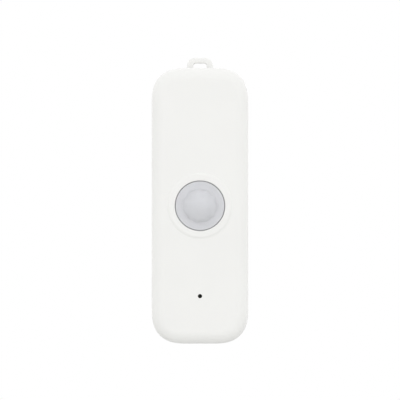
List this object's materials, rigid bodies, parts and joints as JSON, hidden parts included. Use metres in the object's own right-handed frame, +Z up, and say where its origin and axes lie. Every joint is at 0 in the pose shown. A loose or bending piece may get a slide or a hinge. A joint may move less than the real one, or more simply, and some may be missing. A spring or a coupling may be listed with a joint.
{
  "type": "motion sensor",
  "caption": "Slim rounded battery-powered motion sensor with a small domed lens in a raised ring, a light hole, a hanging loop and a sliding battery door.",
  "frame": {"origin": "centre of the adhesive pad's outer face, on the wall plane", "axes": "+Z up along the body towards the hanging loop, -Y out of the front through the lens, +X to the right seen from the front"},
  "size_m": [0.0414, 0.0228, 0.1233],
  "materials": {
    "shell_white": "satin moulded ABS",
    "screw_steel": "zinc-plated steel",
    "foam_pad": "closed-cell foam tape",
    "lens_milky": "milky polyethylene",
    "retainer_white": "moulded ABS",
    "can_metal": "nickel-plated steel",
    "filter_dark": "dark infrared filter",
    "ceramic": "ceramic",
    "gold_plate": "gold-plated",
    "board_green": "solder mask over glass fibre",
    "board_blue": "solder mask over glass fibre",
    "chip_black": "moulded black resin",
    "tin_leads": "tin-plated",
    "capacitor_metal": "bare aluminium",
    "ceramic_brown": "ceramic",
    "light_clear": "clear epoxy",
    "rubber_black": "black silicone rubber",
    "button_grey": "moulded ABS",
    "cell_metal": "nickel-plated can",
    "sleeve_blue": "shrink sleeve",
    "spring_steel": "nickel-plated spring wire"
  },
  "bodies": {
    "housing": {"front_cover": "shell_white", "rear_cover": "shell_white", "case_screws": "screw_steel", "adhesive_pad": "foam_pad", "fresnel_lens": "lens_milky", "lens_retainer": "retainer_white", "sensor_can": "can_metal", "sensor_window": "filter_dark", "sensor_element": "ceramic", "sensor_header": "gold_plate", "sensor_leads": "gold_plate", "main_board": "board_green", "board_screws": "screw_steel", "microcontroller": "chip_black", "amplifier_chip": "chip_black", "amplifier_leads": "tin_leads", "radio_board": "board_blue", "radio_shield": "can_metal", "crystal": "can_metal", "antenna": "tin_leads", "voltage_regulator": "chip_black", "storage_capacitor": "capacitor_metal", "capacitor_base": "chip_black", "chip_resistors": "chip_black", "chip_capacitors": "ceramic_brown", "status_light": "light_clear", "light_shroud": "rubber_black", "tact_body": "chip_black", "tact_frame": "tin_leads", "power_switch_shell": "tin_leads", "power_switch_base": "chip_black", "left_cell": "cell_metal", "right_cell": "cell_metal", "left_cell_sleeve": "sleeve_blue", "right_cell_sleeve": "sleeve_blue", "negative_contact": "gold_plate", "positive_contact": "gold_plate", "link_contact": "gold_plate", "contact_springs": "spring_steel"},
    "door": {"battery_door": "shell_white"},
    "button": {"pairing_button": "button_grey", "tact_plunger": "chip_black"},
    "slider": {"power_slider": "chip_black"}
  },
  "joints": [
    {"name": "door_slide", "type": "slide", "parent": "housing", "child": "door", "axis": [0, 0, 1], "range_m": [0, 0.05]},
    {"name": "button_press", "type": "slide", "parent": "housing", "child": "button", "axis": [0, -1, 0], "range_m": [0, 0.0003], "stiffness_N_per_m": 2000},
    {"name": "power_slide", "type": "slide", "parent": "housing", "child": "slider", "axis": [1, 0, 0], "range_m": [0, 0.002]}
  ]
}
